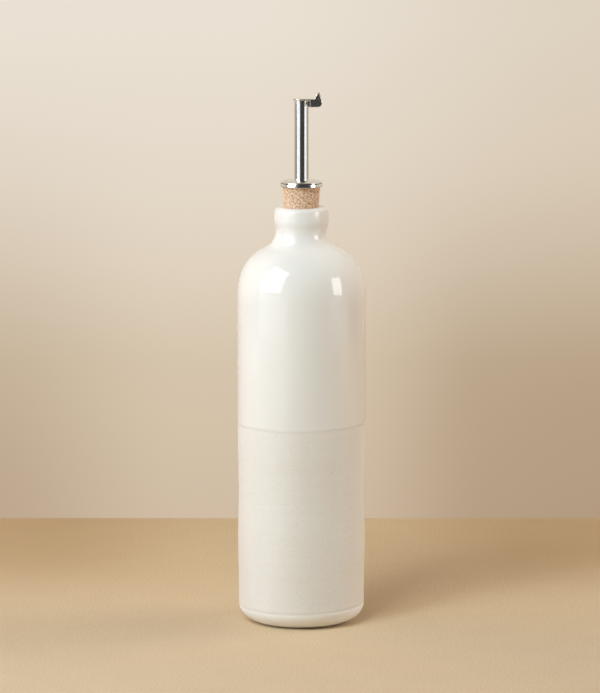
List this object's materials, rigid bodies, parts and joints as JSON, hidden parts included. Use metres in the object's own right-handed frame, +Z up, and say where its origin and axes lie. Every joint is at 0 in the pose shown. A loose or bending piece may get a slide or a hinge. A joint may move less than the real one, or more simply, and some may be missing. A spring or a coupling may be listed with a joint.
{
  "type": "stoneware oil bottle with pouring spout",
  "caption": "Tall round stoneware bottle with a cork stopper and a steel pouring spout closed by a hinged flap with a thumb tab.",
  "frame": {"origin": "on the bottle's axis, at the level it stands on", "axes": "+Z up along the bottle, +X towards the flap's thumb tab, Y along the hinge pin"},
  "size_m": [0.078, 0.078, 0.3235],
  "materials": {
    "stoneware": "cream glaze, glossy above the dip line and matte below it",
    "cork": "bare agglomerated cork",
    "steel": "polished stainless steel"
  },
  "bodies": {
    "bottle": {"bottle": "stoneware", "cork": "cork", "collar": "steel", "spout_tube": "steel", "hinge_lug": "steel"},
    "flap": {"flap": "steel", "hinge_pin": "steel"}
  },
  "joints": [
    {"name": "flap_hinge", "type": "hinge", "parent": "bottle", "child": "flap", "pos_m": [0.0074, 0, 0.31623], "axis": [0, 1, 0], "range_deg": [0, 90]}
  ]
}
